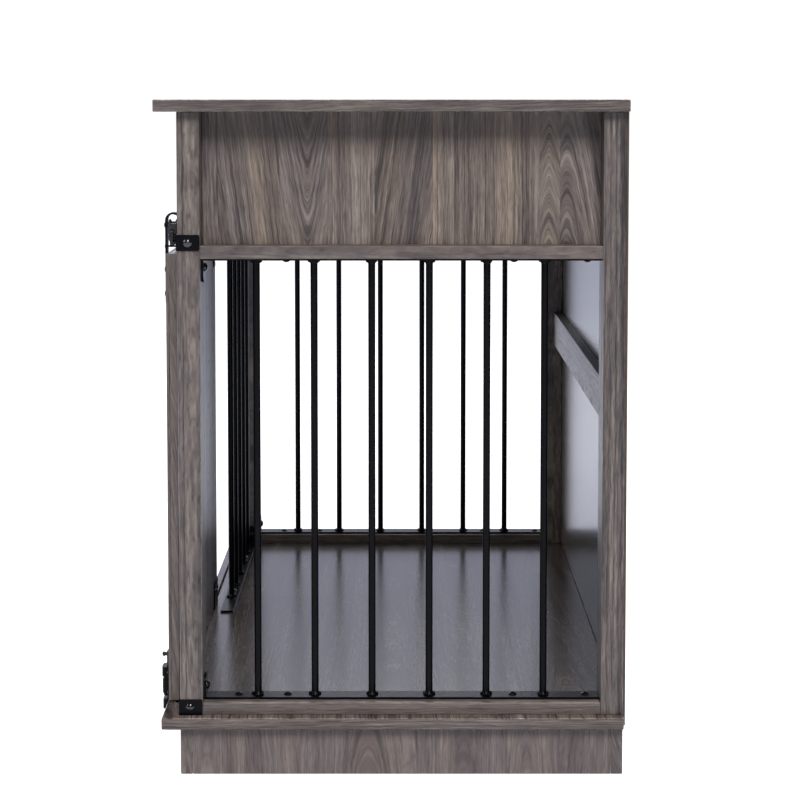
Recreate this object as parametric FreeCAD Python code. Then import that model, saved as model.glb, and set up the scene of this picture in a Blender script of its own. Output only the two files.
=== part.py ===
import FreeCAD, Part
import os
from math import pi, sin, cos, sqrt, radians

os.makedirs("parts", exist_ok=True)
V = FreeCAD.Vector

# ---------------------------------------------------------------- driving dimensions (mm)
# Row frame: +Z up, origin on the floor under the middle of the whole box.
# X runs along the length, the front (door side) faces -Y.
L_BOARD = 1000.0        # top and base board length
L_FRAME = 974.0         # outside of the corner posts, along X
H_TOTAL = 850.0         # floor to table top
BOARD_T = 15.0          # board thickness
YF = -265.5             # front plane of the front posts

TOP_FRONT = -27.5       # offsets along Y from the front plane of the posts
TOP_REAR = 560.5
BASE_FRONT = -22.5
FRAME_REAR = 557.5      # rear plane of the rear posts
BACK_T = 3.0

PLINTH_H = 61.0
BASE_TOP = PLINTH_H + BOARD_T          # 76
POST_X = 48.0           # post section along X
POST_Y = 28.0           # post section along Y
RAIL_H = 15.0           # bottom end rail height
RAIL_TOP = BASE_TOP + RAIL_H           # 91
SHELF_BOT = 652.0
SHELF_TOP = 668.0
TOP_BOT = H_TOTAL - BOARD_T            # 835
FRONT_RAIL_TOP = 700.0  # upper edge of the front rail that carries the track
PANEL_RECESS = 33.0     # end panel set back from the post faces

BAR_D = 9.0             # grille tube
BAR_PITCH = 72.5
BAR_FIRST = 96.2        # first tube of an end grille, from the front plane
FLAT_W = 19.0           # flat bar of the front grille
FLAT_WE = 25.0          # flat bar of the end grilles
FLAT_T = 3.0
EAR_H = 31.0
END_BAR_X = 459.0       # plane of the end grille tubes
FRONT_BAR_Y = 14.0
FRONT_FREE_X = 10.0     # free end of the fixed front grille
FRONT_FIRST = -71.1     # its first tube
FRONT_PITCH = 72.1

DOOR_X0, DOOR_X1 = -52.0, 437.0
DOOR_Z0, DOOR_Z1 = 78.5, 655.0
DOOR_OUT, DOOR_IN = -20.5, -6.5        # outer and inner face, offsets from the front plane
OVERLAY_T = 4.0
STILE_W = 62.0

TRACK_Y = -13.0         # centre plane of track, wheels and hangers
TRACK_T = 4.0
TRACK_Z0, TRACK_Z1 = 665.0, 685.0
TRACK_HALF = 437.0
HANGER_X = (412.0, -27.0)
HANGER_N = ("right", "left")
WHEEL_Z = 690.0
WHEEL_R = 7.4
GROOVE_R = 4.7
WHEEL_W = 11.4
STRAP_W = 16.0
STRAP_T = 2.5
STRAP_OUT_R = 10.0
STRAP_TOP = 706.4

SLIDE_TRAVEL = 385.0    # door travel towards -X
BOLT_X = 412.0
BAR_A0, BAR_A1 = -25.2, -22.8          # flat bar of the drop bolt, in front of the base board's edge
BAR_W = 12.0
BOLT_TIP = 75.6         # raised tip, clear above the keeper
BOLT_DROP = 11.0
PEG_Z = 132.2

XE = L_FRAME / 2.0      # 487
XI = XE - POST_X        # 439

nodes = {}
cuts = {}


# ---------------------------------------------------------------- helpers
def box(x0, x1, a0, a1, z0, z1):
    """Box from X, offset along Y from the front plane, and Z ranges."""
    x0, x1 = min(x0, x1), max(x0, x1)
    return Part.makeBox(x1 - x0, a1 - a0, z1 - z0, V(x0, YF + a0, z0))


def board(x0, x1, a0, a1, z0, z1, c=0.8):
    s = box(x0, x1, a0, a1, z0, z1)
    return s.makeChamfer(c, s.Edges) if c else s


def cyl(r, p0, p1):
    """Cylinder between two points given as (x, offset, z)."""
    a = V(p0[0], YF + p0[1], p0[2])
    b = V(p1[0], YF + p1[1], p1[2])
    d = b.sub(a)
    return Part.makeCylinder(r, d.Length, a, d)


def revolve(profile):
    """Closed (r, z) profile turned about Z."""
    pts = [V(r, 0, z) for r, z in profile]
    w = Part.makePolygon(pts + [pts[0]])
    return Part.Face(w).revolve(V(0, 0, 0), V(0, 0, 1), 360)


def dome(r, h, n=7):
    """Dome profile points from the rim up to the axis."""
    rs = (r * r + h * h) / (2 * h)
    zc = h - rs
    out = []
    for i in range(n + 1):
        rr = r * (1 - i / n)
        out.append((rr, zc + sqrt(max(rs * rs - rr * rr, 0))))
    out[-1] = (0, h)
    return out


def screw(hd, hh, sd, ln, cross=True, rim=0.6):
    """Pan head screw: head on z >= 0, shank below."""
    r = hd / 2.0
    pts = [(r, 0.0), (r, rim)]
    pts += [(p[0], p[1] + rim) for p in dome(r, hh - rim)[1:]]
    pts += [(0, -ln)] if sd < 2 else [(0, -ln), (sd / 2 * 0.25, -ln), (sd / 2, -ln + 3)]
    pts += [(sd / 2, 0.0)]
    s = revolve(pts)
    if cross:
        w = max(0.9, hd * 0.11)
        lg = hd * 0.5
        dp = hh * 0.55
        for k in (0, 1):
            b = Part.makeBox(lg, w, dp, V(-lg / 2, -w / 2, hh - dp))
            if k:
                b.rotate(V(0, 0, 0), V(0, 0, 1), 90)
            s = s.cut(b)
    return s


def place(s, p, n, spin=0.0):
    """Put a shape made along +Z at (x, offset, z), pointing along n."""
    s = s.copy()
    rot = FreeCAD.Rotation(V(0, 0, 1), V(*n))
    s.Placement = FreeCAD.Placement(V(p[0], YF + p[1], p[2]), rot.multiply(FreeCAD.Rotation(V(0, 0, 1), spin)))
    return s


def group(shapes):
    return Part.makeCompound(shapes)


def add(name, shape):
    nodes[name] = shape


def drill(name, tool):
    cuts.setdefault(name, []).append(tool)


def pilot(name, p, n, r, ln):
    """Blind hole from p, going against n."""
    q = (p[0] - n[0] * ln, p[1] - n[1] * ln, p[2] - n[2] * ln)
    p2 = (p[0] + n[0] * 0.5, p[1] + n[1] * 0.5, p[2] + n[2] * 0.5)
    drill(name, cyl(r, p2, q))


SIDES = (("right", 1), ("left", -1))

# ---------------------------------------------------------------- carcass boards
add("top_board", board(-L_BOARD / 2, L_BOARD / 2, TOP_FRONT, TOP_REAR, TOP_BOT, H_TOTAL, 1.0))
add("base_board", board(-L_BOARD / 2, L_BOARD / 2, BASE_FRONT, FRAME_REAR, PLINTH_H, BASE_TOP, 1.0))
add("plinth_front", board(-XE, XE, 0, BOARD_T, 0, PLINTH_H))
add("plinth_rear", board(-XE, XE, FRAME_REAR - BOARD_T, FRAME_REAR, 0, PLINTH_H))
for n, s in SIDES:
    add("plinth_%s" % n, board(s * XE, s * (XE - BOARD_T), BOARD_T, FRAME_REAR - BOARD_T, 0, PLINTH_H))

for n, s in SIDES:
    add("front_post_%s" % n, board(s * XI, s * XE, 0, POST_Y, BASE_TOP, TOP_BOT))
    add("rear_post_%s" % n, board(s * XI, s * XE, FRAME_REAR - POST_Y, FRAME_REAR, BASE_TOP, TOP_BOT))
    px = XE - PANEL_RECESS
    add("end_panel_%s" % n, board(s * (px - BOARD_T), s * px, POST_Y, FRAME_REAR - POST_Y, SHELF_TOP, TOP_BOT, 0.5))
    add("end_mid_rail_%s" % n, board(s * XI, s * (XE - 2), POST_Y, FRAME_REAR - POST_Y, SHELF_BOT, SHELF_TOP))
    add("end_bottom_rail_%s" % n, board(s * XI, s * (XE - 2), POST_Y, FRAME_REAR - POST_Y, BASE_TOP, RAIL_TOP))

add("front_upper_rail", board(-XI, XI, 0, BOARD_T, SHELF_BOT, FRONT_RAIL_TOP))
add("mid_shelf", board(-XI, XI, BOARD_T, FRAME_REAR, SHELF_BOT, SHELF_TOP, 0.5))
add("cubby_divider", board(-BOARD_T / 2, BOARD_T / 2, BOARD_T, FRAME_REAR, SHELF_TOP, TOP_BOT, 0.5))
add("back_panel", board(-XE + 1, XE - 1, FRAME_REAR, FRAME_REAR + BACK_T, PLINTH_H + 1, TOP_BOT, 0.4))
CR0, CR1 = 426.0, 482.0
add("back_cross_rail", board(-XI, XI, FRAME_REAR - 14.5, FRAME_REAR, CR0, CR1))


# ---------------------------------------------------------------- hidden joinery: dowels and post screws
DOWEL_R, DOWEL_L = 4.0, 30.0
dowels = []


def dowel(p, n, sunk_in, ends=(0.5, 0.5)):
    """One 8 x 30 dowel centred on p, with its holes in the nodes named in sunk_in."""
    c = Part.makeCylinder(DOWEL_R, DOWEL_L, V(0, 0, -DOWEL_L / 2), V(0, 0, 1))
    c = c.makeChamfer(1.0, [e for e in c.Edges if e.Closed])
    dowels.append(place(c, p, n))
    h = DOWEL_L / 2 + 0.5
    q0 = tuple(p[i] - n[i] * h for i in range(3))
    q1 = tuple(p[i] + n[i] * h for i in range(3))
    for nm in sunk_in:
        drill(nm, cyl(DOWEL_R + 0.05, q0, q1))


for n, s in SIDES:
    for a, fr in ((POST_Y / 2, "front"), (FRAME_REAR - POST_Y / 2, "rear")):
        post = fr + "_post_" + n
        dowel((s * (XI + POST_X / 2), a, TOP_BOT - 4), (0, 0, 1), (post, "top_board"))
        ap = POST_Y if fr == "front" else FRAME_REAR - POST_Y
        x = s * (XI + POST_X / 2)
        dowel((x, ap, BASE_TOP + RAIL_H / 2), (0, 1, 0), (post, "end_bottom_rail_" + n))
        dowel((x, ap, (SHELF_BOT + SHELF_TOP) / 2), (0, 1, 0), (post, "end_mid_rail_" + n))
    dowel((s * XI, BOARD_T / 2, 690.0), (1, 0, 0), ("front_upper_rail", "front_post_" + n))
    for z in (CR0 + 14, CR1 - 14):
        dowel((s * XI, FRAME_REAR - 7.25, z), (1, 0, 0), ("back_cross_rail", "rear_post_" + n))
    for a in (160.0, 390.0):
        dowel((s * XI, a, (SHELF_BOT + SHELF_TOP) / 2), (1, 0, 0), ("mid_shelf", "end_mid_rail_" + n))
    for a in (210.0, 350.0):
        xp = s * (XE - PANEL_RECESS - BOARD_T / 2)
        dowel((xp, a, SHELF_TOP + 3), (0, 0, 1), ("end_panel_" + n, "end_mid_rail_" + n))
        dowel((xp, a, TOP_BOT - 4), (0, 0, 1), ("end_panel_" + n, "top_board"))
        dowel((s * (XE - BOARD_T / 2), a, PLINTH_H - 4), (0, 0, 1), ("plinth_" + n, "base_board"))
    dowel((s * 330.0, BOARD_T / 2, PLINTH_H - 4), (0, 0, 1), ("plinth_front", "base_board"))
    dowel((s * 330.0, FRAME_REAR - BOARD_T / 2, PLINTH_H - 4), (0, 0, 1), ("plinth_rear", "base_board"))
for a in (140.0, 430.0):
    dowel((0, a, SHELF_TOP + 4), (0, 0, 1), ("cubby_divider", "mid_shelf"))
    dowel((0, a, TOP_BOT - 4), (0, 0, 1), ("cubby_divider", "top_board"))
add("dowels", group(dowels))

post_screws = []
for n, s in SIDES:
    for a, fr in ((21.0, "front"), (FRAME_REAR - 21.0, "rear")):
        x = s * 475.0
        # countersunk screw, head down, flush with the underside of the base board
        prof = [(0, 0), (5.0, 0), (5.0, 0.6), (2.5, 3.3), (2.5, 34), (0.6, 38), (0, 38)]
        post_screws.append(place(revolve(prof), (x, a, PLINTH_H), (0, 0, 1)))
        head = revolve([(0, -0.5), (5.1, -0.5), (5.1, 0.65), (2.56, 3.4), (2.56, BOARD_T + 1), (0, BOARD_T + 1)])
        drill("base_board", place(head, (x, a, PLINTH_H), (0, 0, 1)))
        drill(fr + "_post_" + n, cyl(2.55, (x, a, BASE_TOP - 1), (x, a, PLINTH_H + 38.5)))
add("post_screws", group(post_screws))


# ---------------------------------------------------------------- bar grilles
def tube_with_collars(x, a, z0, z1):
    """Round tube between two flat bars, with a small flared weld collar at each end."""
    r = BAR_D / 2
    rc = 6.7
    prof = [(0, 0), (rc, 0), (rc, 1.1), (rc - 0.8, 2.4), (r + 0.6, 3.6), (r, 4.6)]
    h = z1 - z0
    prof += [(r, h - 4.6), (r + 0.6, h - 3.6), (rc - 0.8, h - 2.4), (rc, h - 1.1), (rc, h), (0, h)]
    return place(revolve(prof), (x, a, z0), (0, 0, 1))


def flat_y(x, z0, z1):
    return box(x - FLAT_WE / 2, x + FLAT_WE / 2, POST_Y, FRAME_REAR - POST_Y, z0, z1)


FB0, FB1 = RAIL_TOP, RAIL_TOP + FLAT_T             # lower flat bar
FT0, FT1 = SHELF_BOT - FLAT_T, SHELF_BOT           # upper flat bar
EARZ = (RAIL_TOP + 15.5, SHELF_BOT - 12.0)
grille_screws = []
flat_screws = []


def ear_y(x, a, zlo, zhi, up):
    """Ear bent from the flat bar against a post face; a is the post face, positive side inwards."""
    a0, a1 = (a, a + FLAT_T) if a < 200 else (a - FLAT_T, a)
    e = box(x - FLAT_WE / 2, x + FLAT_WE / 2, a0, a1, zlo, zhi)
    # round the free end
    rr = FLAT_WE / 2
    zc = zhi - rr if up else zlo + rr
    keep = cyl(rr, (x, a0 - 1, zc), (x, a1 + 1, zc))
    body = box(x - rr, x + rr, a0 - 1, a1 + 1, zlo if up else zc, zc if up else zhi)
    return e.common(keep.fuse(body))


for n, s in SIDES:
    x = s * END_BAR_X
    A0, A1 = POST_Y, FRAME_REAR - POST_Y
    g = flat_y(x, FB0, FB1).fuse(flat_y(x, FT0, FT1))
    for a in (A0,):
        g = g.fuse(ear_y(x, a, FB0, FB0 + EAR_H, True)).fuse(ear_y(x, a, FT1 - EAR_H, FT1, False))
    for k in range(6):
        g = g.fuse(tube_with_collars(x, BAR_FIRST + k * BAR_PITCH, FB1, FT0))
    # screws through the ears into the posts, and through the flat bars into the rails
    for a, ny in ((A0, 1),):
        post = ("front" if a < 200 else "rear") + "_post_" + n
        for z in EARZ:
            p = (x, a + ny * FLAT_T, z)
            grille_screws.append(place(screw(11.5, 4.2, 3.5, 18), p, (0, ny, 0)))
            g = g.cut(cyl(1.85, (x, a - ny, z), (x, a + 5 * ny, z)))
            pilot(post, (x, a, z), (0, ny, 0), 1.8, 15.5)
    for z, nz, nm in ((FB1, 1, "end_bottom_rail_" + n), (FT0, -1, "end_mid_rail_" + n)):
        for a in ((72.0, 134.0, 420.0, 512.0) if nz > 0 else (134.0, 420.0, 512.0)):
            flat_screws.append(place(screw(10.5, 3.0, 3.0, 13), (x, a, z), (0, 0, nz), 20))
            g = g.cut(cyl(1.6, (x, a, z - 6 * nz), (x, a, z + nz)))
            pilot(nm, (x, a, z - nz * FLAT_T), (0, 0, nz), 1.55, 10.5)
    add("end_grille_%s" % n, g)

# fixed front grille: left half of the front, standing on the base board, free end towards the doorway
G0, G1 = BASE_TOP, BASE_TOP + FLAT_T
g = box(-XI, FRONT_FREE_X, FRONT_BAR_Y - FLAT_W / 2, FRONT_BAR_Y + FLAT_W / 2, G0, G1)
g = g.fuse(box(-XI, FRONT_FREE_X, FRONT_BAR_Y - FLAT_W / 2, FRONT_BAR_Y + FLAT_W / 2, FT0, FT1))
for zlo, zhi, up in ((G0, G0 + EAR_H, True), (FT1 - EAR_H, FT1, False)):
    e = box(-XI, -XI + FLAT_T, FRONT_BAR_Y - FLAT_W / 2, FRONT_BAR_Y + FLAT_W / 2, zlo, zhi)
    rr = FLAT_W / 2
    zc = zhi - rr if up else zlo + rr
    keep = cyl(rr, (-XI - 1, FRONT_BAR_Y, zc), (-XI + 5, FRONT_BAR_Y, zc))
    body = box(-XI - 1, -XI + 5, FRONT_BAR_Y - rr, FRONT_BAR_Y + rr, zlo if up else zc, zc if up else zhi)
    g = g.fuse(e.common(keep.fuse(body)))
for k in range(5):
    g = g.fuse(tube_with_collars(FRONT_FIRST - k * FRONT_PITCH, FRONT_BAR_Y, G1, FT0))
for z in (G0 + 15.5, EARZ[1]):
    grille_screws.append(place(screw(11.5, 4.2, 3.5, 18), (-XI + FLAT_T, FRONT_BAR_Y, z), (1, 0, 0)))
    g = g.cut(cyl(1.85, (-XI - 1, FRONT_BAR_Y, z), (-XI + 5, FRONT_BAR_Y, z)))
    pilot("front_post_left", (-XI, FRONT_BAR_Y, z), (1, 0, 0), 1.8, 15.5)
for x in (-107.1, -323.4):
    flat_screws.append(place(screw(10.5, 3.0, 3.0, 13), (x, FRONT_BAR_Y, G1), (0, 0, 1), 35))
    g = g.cut(cyl(1.6, (x, FRONT_BAR_Y, G0 - 3), (x, FRONT_BAR_Y, G1 + 1)))
    pilot("base_board", (x, FRONT_BAR_Y, G0), (0, 0, 1), 1.55, 10.5)
for x in (-107.1, -323.4):
    # the front rail is thin, so the upper bar takes its screws into the shelf edge behind it
    flat_screws.append(place(screw(8.0, 2.6, 3.0, 13), (x, FRONT_BAR_Y + 5, FT0), (0, 0, -1), 35))
    g = g.cut(cyl(1.6, (x, FRONT_BAR_Y + 5, FT0 - 1), (x, FRONT_BAR_Y + 5, FT1 + 3)))
    pilot("mid_shelf", (x, FRONT_BAR_Y + 5, FT1), (0, 0, -1), 1.55, 10.5)
add("front_grille", g)
add("grille_ear_screws", group(grille_screws))

# ---------------------------------------------------------------- sliding barn door
core_out = DOOR_OUT + OVERLAY_T
core = board(DOOR_X0, DOOR_X1, core_out, DOOR_IN, DOOR_Z0, DOOR_Z1, 0.6)
# vertical plank grooves on the outer face
for k in range(1, 6):
    gx = DOOR_X0 + STILE_W + k * (DOOR_X1 - DOOR_X0 - 2 * STILE_W) / 6
    vg = Part.Face(Part.makePolygon([V(gx - 1.6, YF + core_out - 0.01, DOOR_Z0 - 1), V(gx + 1.6, YF + core_out - 0.01, DOOR_Z0 - 1),
                                     V(gx, YF + core_out + 1.6, DOOR_Z0 - 1), V(gx - 1.6, YF + core_out - 0.01, DOOR_Z0 - 1)]))
    core = core.cut(vg.extrude(V(0, 0, DOOR_Z1 - DOOR_Z0 + 2)))
add("door_panel", core)
add("door_stile_right", board(DOOR_X1 - STILE_W, DOOR_X1, DOOR_OUT, core_out, DOOR_Z0, DOOR_Z1, 0.6))
add("door_stile_left", board(DOOR_X0, DOOR_X0 + STILE_W, DOOR_OUT, core_out, DOOR_Z0, DOOR_Z1, 0.6))
RX0, RX1 = DOOR_X0 + STILE_W, DOOR_X1 - STILE_W
add("door_top_rail", board(RX0, RX1, DOOR_OUT, core_out, DOOR_Z1 - STILE_W, DOOR_Z1, 0.6))
add("door_bottom_rail", board(RX0, RX1, DOOR_OUT, core_out, DOOR_Z0, DOOR_Z0 + STILE_W, 0.6))


def brace(z0, z1, flip):
    """Diagonal brace strip, cut to the rectangle between the rails."""
    w = 50.0
    dx, dz = RX1 - RX0, z1 - z0
    ln = sqrt(dx * dx + dz * dz)
    ux, uz = dx / ln, dz / ln
    if flip:
        uz = -uz
    cx, cz = (RX0 + RX1) / 2, (z0 + z1) / 2
    pts = []
    for su, sv in ((-1, -1), (1, -1), (1, 1), (-1, 1)):
        pts.append(V(cx + su * ux * (ln / 2 + 60) - sv * uz * w / 2, YF + DOOR_OUT, cz + su * uz * (ln / 2 + 60) + sv * ux * w / 2))
    f = Part.Face(Part.makePolygon(pts + [pts[0]]))
    s = f.extrude(V(0, OVERLAY_T, 0))
    s = s.common(box(RX0, RX1, DOOR_OUT - 1, core_out + 1, z0, z1))
    return s.makeChamfer(0.6, s.Edges)


add("door_brace", brace(DOOR_Z0 + STILE_W, DOOR_Z1 - STILE_W, False))

# ---------------------------------------------------------------- track on the front
track = box(-TRACK_HALF, TRACK_HALF, TRACK_Y - TRACK_T / 2, TRACK_Y + TRACK_T / 2, TRACK_Z0, TRACK_Z1)
ends = [e for e in track.Edges if abs(e.Vertexes[0].X - e.Vertexes[1].X) < 1e-6 and abs(e.Vertexes[0].Z - e.Vertexes[1].Z) < 1e-6]
track = track.makeFillet(3.0, ends)
TZ = 675.0
TB_X = (428.0, 150.0, -150.0, -428.0)
spacers, tbolts = [], []
for x in TB_X:
    end_one = abs(x) > 400
    back = -1.5 if end_one else 0.0
    sp = cyl(5.6, (x, TRACK_Y + TRACK_T / 2, TZ), (x, back, TZ)).cut(cyl(3.1, (x, -20, TZ), (x, 5, TZ)))
    spacers.append(sp)
    track = track.cut(cyl(3.1, (x, -20, TZ), (x, -5, TZ)))
    # low round head, so that the hanger straps pass in front of nothing but air
    prof = [(0, 2.4), (3.6, 2.2), (5.0, 1.4), (5.2, 0), (3.0, 0), (3.0, -24.0), (1.2, -27.5), (0, -27.5)]
    b = revolve(prof)
    hexa = Part.Face(Part.makePolygon([V(1.9 * cos(radians(60 * i)), 1.9 * sin(radians(60 * i)), 1.0) for i in range(7)]))
    b = b.cut(hexa.extrude(V(0, 0, 3)))
    tbolts.append(place(b, (x, TRACK_Y - TRACK_T / 2, TZ), (0, -1, 0)))
    drill("front_upper_rail", cyl(3.05, (x, -1, TZ), (x, 13.2, TZ)))
add("door_track", track)
add("track_spacers", group(spacers))
add("track_bolts", group(tbolts))


def lbracket(s, z0, z1, reach):
    """Thin angle round the front corner of a post: short leg on the end face, long leg on the front."""
    t = 1.5
    end_leg = box(s * XE, s * (XE + t), -t, 28.0, z0, z1)
    ed = [e for e in end_leg.Edges if abs(e.Vertexes[0].Y - (YF + 28)) < 1e-6 and abs(e.Vertexes[1].Y - (YF + 28)) < 1e-6
          and abs(e.Vertexes[0].Z - e.Vertexes[1].Z) < 1e-6]
    end_leg = end_leg.makeFillet(2.0, ed)
    front_leg = box(s * reach, s * (XE + t), -t, 0, z0, z1)
    ed = [e for e in front_leg.Edges if abs(e.Vertexes[0].X - s * reach) < 1e-6 and abs(e.Vertexes[1].X - s * reach) < 1e-6
          and abs(e.Vertexes[0].Z - e.Vertexes[1].Z) < 1e-6]
    front_leg = front_leg.makeFillet(2.0, ed)
    return end_leg.fuse(front_leg).removeSplitter()


bracket_screws = []
for n, s in SIDES:
    b = lbracket(s, 662.5, 682.5, 418.5)
    b = b.cut(cyl(3.1, (s * 428.0, -5, TZ), (s * 428.0, 5, TZ)))
    p = (s * (XE + 1.5), 13.3, 672.5)
    b = b.cut(cyl(2.1, (s * (XE - 1), 13.3, 672.5), (s * (XE + 3), 13.3, 672.5)))
    add("track_bracket_%s" % n, b)
    b2 = lbracket(s, BASE_TOP, BASE_TOP + 20, 447.0)
    b2 = b2.cut(cyl(2.1, (s * (XE - 1), 12.6, 86.0), (s * (XE + 3), 12.6, 86.0)))
    for z, a in ((672.5, 13.3), (86.0, 12.6)):
        bracket_screws.append(place(screw(10.4, 2.9, 4.0, 18), (s * (XE + 1.5), a, z), (s, 0, 0), 38))
        pilot("front_post_" + n, (s * XE, a, z), (s, 0, 0), 2.05, 17.0)
    # second screw, on the front leg
    xs = s * 460.0
    for nm, z in (("t", 672.5), ("b", 86.0)):
        t = cyl(1.6, (xs, -3, z), (xs, 3, z))
        if nm == "t":
            nodes["track_bracket_%s" % n] = nodes["track_bracket_%s" % n].cut(t)
        else:
            b2 = b2.cut(t)
        flat_screws.append(place(screw(10.5, 3.0, 3.0, 13), (xs, -1.5, z), (0, -1, 0), 12))
        pilot("front_post_" + n, (xs, 0, z), (0, -1, 0), 1.55, 12.0)
    add("corner_bracket_%s" % n, b2)
add("bracket_screws", group(bracket_screws))
add("small_pan_screws", group(flat_screws))

stops = []
for s in (1, -1):
    # saddle block over the end of the track
    st = box(s * 421.5, s * 431.5, TRACK_Y - 5, TRACK_Y + 5, 679.0, 692.5).cut(
        box(s * 420, s * 433, TRACK_Y - TRACK_T / 2 - 0.05, TRACK_Y + TRACK_T / 2 + 0.05, 678.0, TRACK_Z1 + 0.05))
    st = st.cut(cyl(5.65, (s * 428.0, TRACK_Y, TZ), (s * 428.0, 0, TZ))).cut(cyl(5.4, (s * 428.0, TRACK_Y - 8, TZ), (s * 428.0, TRACK_Y, TZ)))
    stops.append(st)
add("track_stops", group(stops))

# ---------------------------------------------------------------- hangers and wheels
for n, x in zip(HANGER_N, HANGER_X):
    hw = STRAP_W / 2
    zc = STRAP_TOP - STRAP_OUT_R
    ro, ri = STRAP_OUT_R, STRAP_OUT_R - STRAP_T
    yo, yi = TRACK_Y - ro, TRACK_Y + ro
    arch = cyl(ro, (x - hw, TRACK_Y, zc), (x + hw, TRACK_Y, zc)).cut(cyl(ri, (x - hw - 1, TRACK_Y, zc), (x + hw + 1, TRACK_Y, zc)))
    arch = arch.common(box(x - hw, x + hw, yo - 1, yi + 1, zc, zc + ro + 1))
    outer = box(x - hw, x + hw, yo, yo + STRAP_T, 588.0, zc)
    end = cyl(hw, (x, yo - 1, 588.0 + hw), (x, yo + STRAP_T + 1, 588.0 + hw)).fuse(
        box(x - hw, x + hw, yo - 1, yo + STRAP_T + 1, 588.0 + hw, zc))
    outer = outer.common(end)
    inner = box(x - hw, x + hw, yi - STRAP_T, yi, 683.0, zc)
    strap = arch.fuse(outer).fuse(inner).removeSplitter()
    # axle hole, pin hole, bolt holes
    strap = strap.cut(cyl(2.1, (x, yo - 2, WHEEL_Z), (x, yi + 2, WHEEL_Z)))
    strap = strap.cut(cyl(1.3, (x, yo - 2, 662.8), (x, yo + 4, 662.8)))
    for z in (633.0, 602.0):
        strap = strap.cut(cyl(2.6, (x, yo - 2, z), (x, yo + 4, z)))
    add("hanger_strap_%s" % n, strap)
    # grooved wheel, turned about the axle
    w2 = WHEEL_W / 2
    prof = [(2.15, -w2), (WHEEL_R - 0.6, -w2), (WHEEL_R, -w2 + 0.6), (WHEEL_R, -3.5), (GROOVE_R, -2.3),
            (GROOVE_R, 2.3), (WHEEL_R, 3.5), (WHEEL_R, w2 - 0.6), (WHEEL_R - 0.6, w2), (2.15, w2)]
    add("hanger_wheel_%s" % n, place(revolve(prof), (x, TRACK_Y, WHEEL_Z), (0, -1, 0)))

axles, pins, hbolts, hnuts = [], [], [], []
for x in HANGER_X:
    yo, yi = TRACK_Y - STRAP_OUT_R, TRACK_Y + STRAP_OUT_R
    wl = STRAP_OUT_R - STRAP_T - WHEEL_W / 2      # washer sleeve each side of the wheel
    # axle: dome head outside, peened inner end
    prof = [(0, 2.3), (2.2, 2.1), (3.5, 1.3), (4.0, 0), (2.05, 0), (2.05, -20.0), (3.0, -20.0), (2.6, -20.7), (0, -20.8)]
    a = place(revolve(prof), (x, yo, WHEEL_Z), (0, -1, 0))
    for y0 in (TRACK_Y - WHEEL_W / 2 - wl + 0.05, TRACK_Y + WHEEL_W / 2 + 0.3):
        ring = cyl(3.2, (x, y0, WHEEL_Z), (x, y0 + wl - 0.35, WHEEL_Z)).cut(cyl(2.05, (x, y0 - 1, WHEEL_Z), (x, y0 + wl + 1, WHEEL_Z)))
        a = a.fuse(ring)
    axles.append(a)
    # pin under the track that stops the door jumping off
    prof = [(0, 1.5), (2.2, 1.3), (3.2, 0), (1.25, 0), (1.25, -14.0), (0.8, -14.6), (0, -14.6)]
    pins.append(place(revolve(prof), (x, yo, 662.8), (0, -1, 0)))
    for z in (633.0, 602.0):
        prof = [(0, 2.0), (2.6, 1.7), (4.2, 0.8), (4.5, 0), (2.5, 0), (2.5, -17.5), (0, -17.5)]
        hbolts.append(place(revolve(prof), (x, yo, z), (0, -1, 0)))
        nut = revolve([(0, 3.0), (2.6, 2.8), (4.6, 2.1), (6.0, 0.9), (6.4, 0), (2.6, 0), (2.6, 1.2), (0, 1.2)])
        hnuts.append(place(nut, (x, DOOR_IN, z), (0, 1, 0)))
        hole = cyl(2.6, (x, DOOR_OUT - 2, z), (x, DOOR_IN + 2, z))
        drill("door_panel", hole)
        drill("door_stile_right" if x > 0 else "door_stile_left", hole)
add("wheel_axles", group(axles))
add("anti_jump_pins", group(pins))
add("hanger_bolts", group(hbolts))
add("hanger_cap_nuts", group(hnuts))

# ---------------------------------------------------------------- drop bolt on the door
bx = BOLT_X
PLATE_A = -22.7
HOUS = (79.5, 117.5)


def round_edges(shape, pred, r):
    return shape.makeFillet(r, [e for e in shape.Edges if pred(e)])


def along(e, ax):
    d = e.Vertexes[-1].Point.sub(e.Vertexes[0].Point)
    v = [abs(d.x), abs(d.y), abs(d.z)]
    return v[ax] > 1e-6 and v[(ax + 1) % 3] < 1e-6 and v[(ax + 2) % 3] < 1e-6


plate = round_edges(box(bx - 15, bx + 15, PLATE_A, DOOR_OUT, 80.5, 117.5), lambda e: along(e, 1), 3.0)


def lump(hw, a_out, z0, z1, r):
    """Guide block with rounded outer corners."""
    b = box(bx - hw, bx + hw, a_out, PLATE_A + 0.5, z0, z1)
    b = round_edges(b, lambda e: along(e, 2) and abs(e.Vertexes[0].Y - (YF + a_out)) < 1e-6, r)
    return b


hous = lump(8.6, -29.8, HOUS[0], HOUS[1], 4.5)
for z0, z1, ao, hw in ((105.0, 117.5, -31.5, 9.8), (83.0, 101.0, -31.0, 9.4)):
    hous = hous.fuse(lump(hw, ao, z0, z1, 5.0))
plate = plate.fuse(hous).removeSplitter()
plate = plate.cut(box(bx - BAR_W / 2 - 0.1, bx + BAR_W / 2 + 0.1, BAR_A0 - 0.1, PLATE_A, 70, 125))
psc = []
for dx in (-12.5, 12.5):
    for z in (86.0, 112.0):
        plate = plate.cut(cyl(1.1, (bx + dx, DOOR_OUT - 4, z), (bx + dx, DOOR_OUT + 1, z)))
        psc.append(place(screw(4.2, 1.3, 2.0, 9.5, rim=0.3), (bx + dx, PLATE_A, z), (0, -1, 0), 25))
        pilot("door_stile_right", (bx + dx, DOOR_OUT, z), (0, -1, 0), 1.05, 4.5)
        pilot("door_panel", (bx + dx, core_out, z), (0, -1, 0), 1.05, 4.5)
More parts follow.
